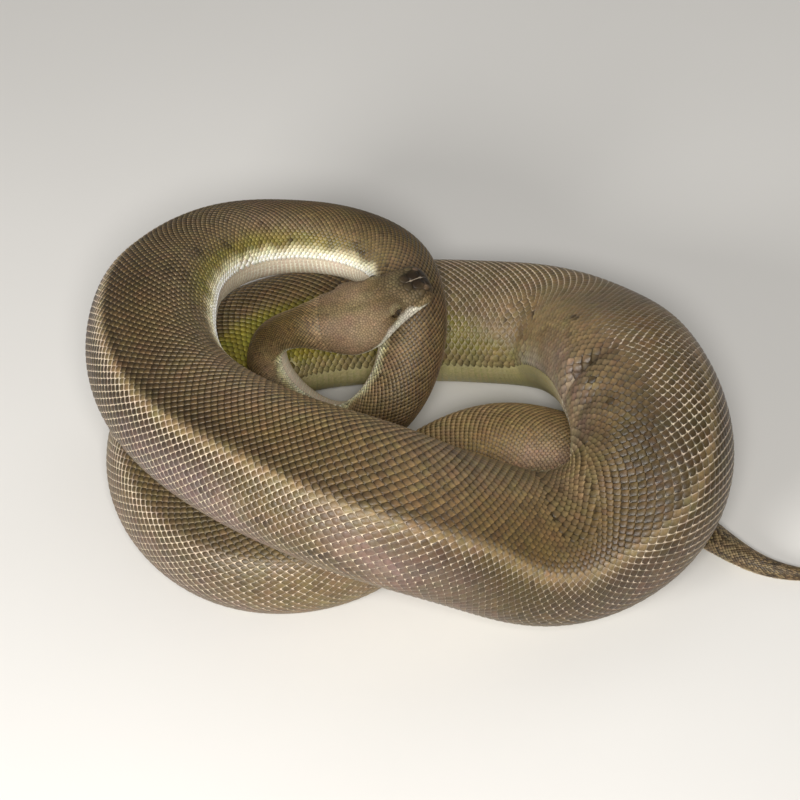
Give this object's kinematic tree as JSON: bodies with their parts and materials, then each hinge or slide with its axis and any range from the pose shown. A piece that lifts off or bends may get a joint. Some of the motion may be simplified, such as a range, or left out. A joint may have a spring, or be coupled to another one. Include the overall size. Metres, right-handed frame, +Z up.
{
  "type": "coiled python model",
  "caption": "Still, life-size model of a plain olive-brown python at rest in a loose double coil, with its head lying on its own coils and the tail running out to one side.",
  "frame": {"origin": "on the floor, under the middle of the box round the coils", "axes": "+Z up from the floor; +X along the longest way across the coils, towards the side where the tail runs out; +Y away from the side the snake is seen from"},
  "size_m": [0.5267, 0.3639, 0.1694],
  "materials": {
    "head_skin": "small smooth olive-tan head scales, satin",
    "jaw_skin": "pale cream lip and chin scales, satin",
    "eye": "dark, wet and glossy under a clear scale",
    "body_skin": "olive-brown overlapping scales with pale skin between them, satin with a soft gloss"
  },
  "bodies": {
    "root": {"head": "head_skin", "lower_jaw": "jaw_skin", "eye_left": "eye", "eye_right": "eye", "neck_1": "body_skin", "neck_2": "body_skin", "trunk_01": "body_skin", "trunk_02": "body_skin", "trunk_03": "body_skin", "trunk_04": "body_skin", "trunk_05": "body_skin", "trunk_06": "body_skin", "trunk_07": "body_skin", "trunk_08": "body_skin", "trunk_09": "body_skin", "trunk_10": "body_skin", "trunk_11": "body_skin", "trunk_12": "body_skin", "trunk_13": "body_skin", "trunk_14": "body_skin", "trunk_15": "body_skin", "tail_1": "body_skin", "tail_2": "body_skin"}
  },
  "joints": []
}
